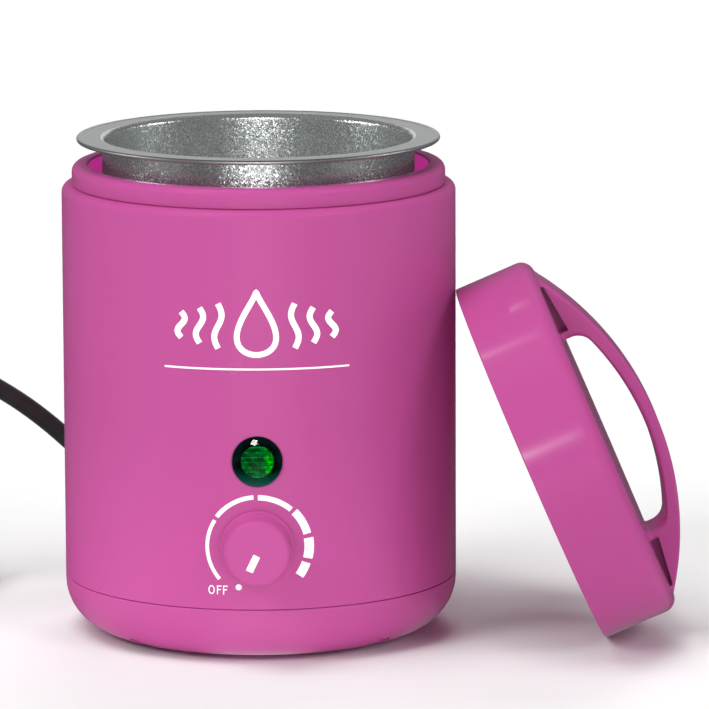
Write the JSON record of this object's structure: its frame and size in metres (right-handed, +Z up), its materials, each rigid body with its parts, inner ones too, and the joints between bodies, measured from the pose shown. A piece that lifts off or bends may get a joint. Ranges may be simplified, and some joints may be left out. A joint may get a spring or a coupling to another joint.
{
  "type": "wax warmer pot",
  "caption": "Round electric warmer for depilatory wax: a drum with a lift-out metal pot, thermostat knob, pilot lamp and mains cord, and a loose lid with an arched handle leaning on it.",
  "frame": {"origin": "point where the drum's axis meets the floor that the rubber foot stands on", "axes": "+Z up along the drum's axis; the lamp and the knob face -Y; the lid leans on the +X side; the cord leaves at the rear"},
  "size_m": [0.2776, 0.1527, 0.1496],
  "materials": {
    "pink_shell": "satin-gloss moulded magenta-pink plastic",
    "pink_knob": "satin-gloss moulded magenta-pink plastic",
    "pink_lid": "satin-gloss moulded magenta-pink plastic",
    "black_rubber": "matt black rubber",
    "black_cord": "satin black flexible PVC sheath",
    "zinc_steel": "bright zinc-plated steel",
    "spangled_metal": "spun metal with a fine speckled satin surface",
    "spun_aluminium": "spun aluminium",
    "white_silicone": "translucent white silicone",
    "mica_band": "steel-sheathed mica band",
    "glass_fibre": "needled glass-fibre blanket",
    "copper": "bright copper",
    "brass": "plain brass",
    "nickel_brass": "nickel-plated brass",
    "brown_resin": "brown phenolic moulding",
    "black_resin": "black nylon",
    "green_lens": "transparent green polycarbonate, faceted inside",
    "clear_glass": "clear glass",
    "ceramic_body": "lacquered ceramic",
    "white_resin": "natural white nylon",
    "brown_wire": "brown wire insulation",
    "blue_wire": "blue wire insulation",
    "white_wire": "glass-braid wire sleeving",
    "black_wire": "black wire insulation"
  },
  "bodies": {
    "base": {"outer_casing": "pink_shell", "top_ring": "pink_shell", "base_cover": "pink_shell", "foot_ring": "black_rubber", "cord_boot": "black_rubber", "mains_cord": "black_cord", "plug_body": "black_rubber", "base_screws": "zinc_steel", "block_screws": "zinc_steel", "ring_screws": "zinc_steel", "band_screw": "zinc_steel", "band_nut": "zinc_steel", "bulb_clips": "zinc_steel", "fuse_clip": "zinc_steel", "heating_well": "spun_aluminium", "well_gasket": "white_silicone", "band_heater": "mica_band", "insulation_sleeve": "glass_fibre", "bulb_and_capillary": "copper", "thermal_fuse": "brass", "plug_pins": "nickel_brass", "terminal_screws": "brass", "thermostat_body": "brown_resin", "thermostat_nut": "zinc_steel", "lamp_lens": "green_lens", "lamp_housing": "black_resin", "lamp_nut": "black_resin", "neon_bulb": "clear_glass", "lamp_resistor": "ceramic_body", "terminal_block": "white_resin", "live_wire": "brown_wire", "neutral_wire": "blue_wire", "heater_leads": "white_wire", "lamp_leads": "black_wire", "thermostat_leads": "brown_wire", "cord_tie": "white_resin"},
    "lid": {"lid": "pink_lid"},
    "wax_pot": {"wax_pot": "spangled_metal"},
    "knob": {"control_knob": "pink_knob", "thermostat_shaft": "zinc_steel", "knob_spring": "zinc_steel"}
  },
  "joints": [
    {"name": "knob_turn", "type": "hinge", "parent": "base", "child": "knob", "pos_m": [0, -0.059, 0.036], "axis": [0, 1, 0], "range_deg": [0, 281]},
    {"name": "pot_lift", "type": "slide", "parent": "base", "child": "wax_pot", "axis": [0, 0, 1], "range_m": [0, 0.1]},
    {"name": "lid_lift", "type": "slide", "parent": "base", "child": "lid", "axis": [0, 0, 1], "range_m": [0, 0.16]}
  ]
}
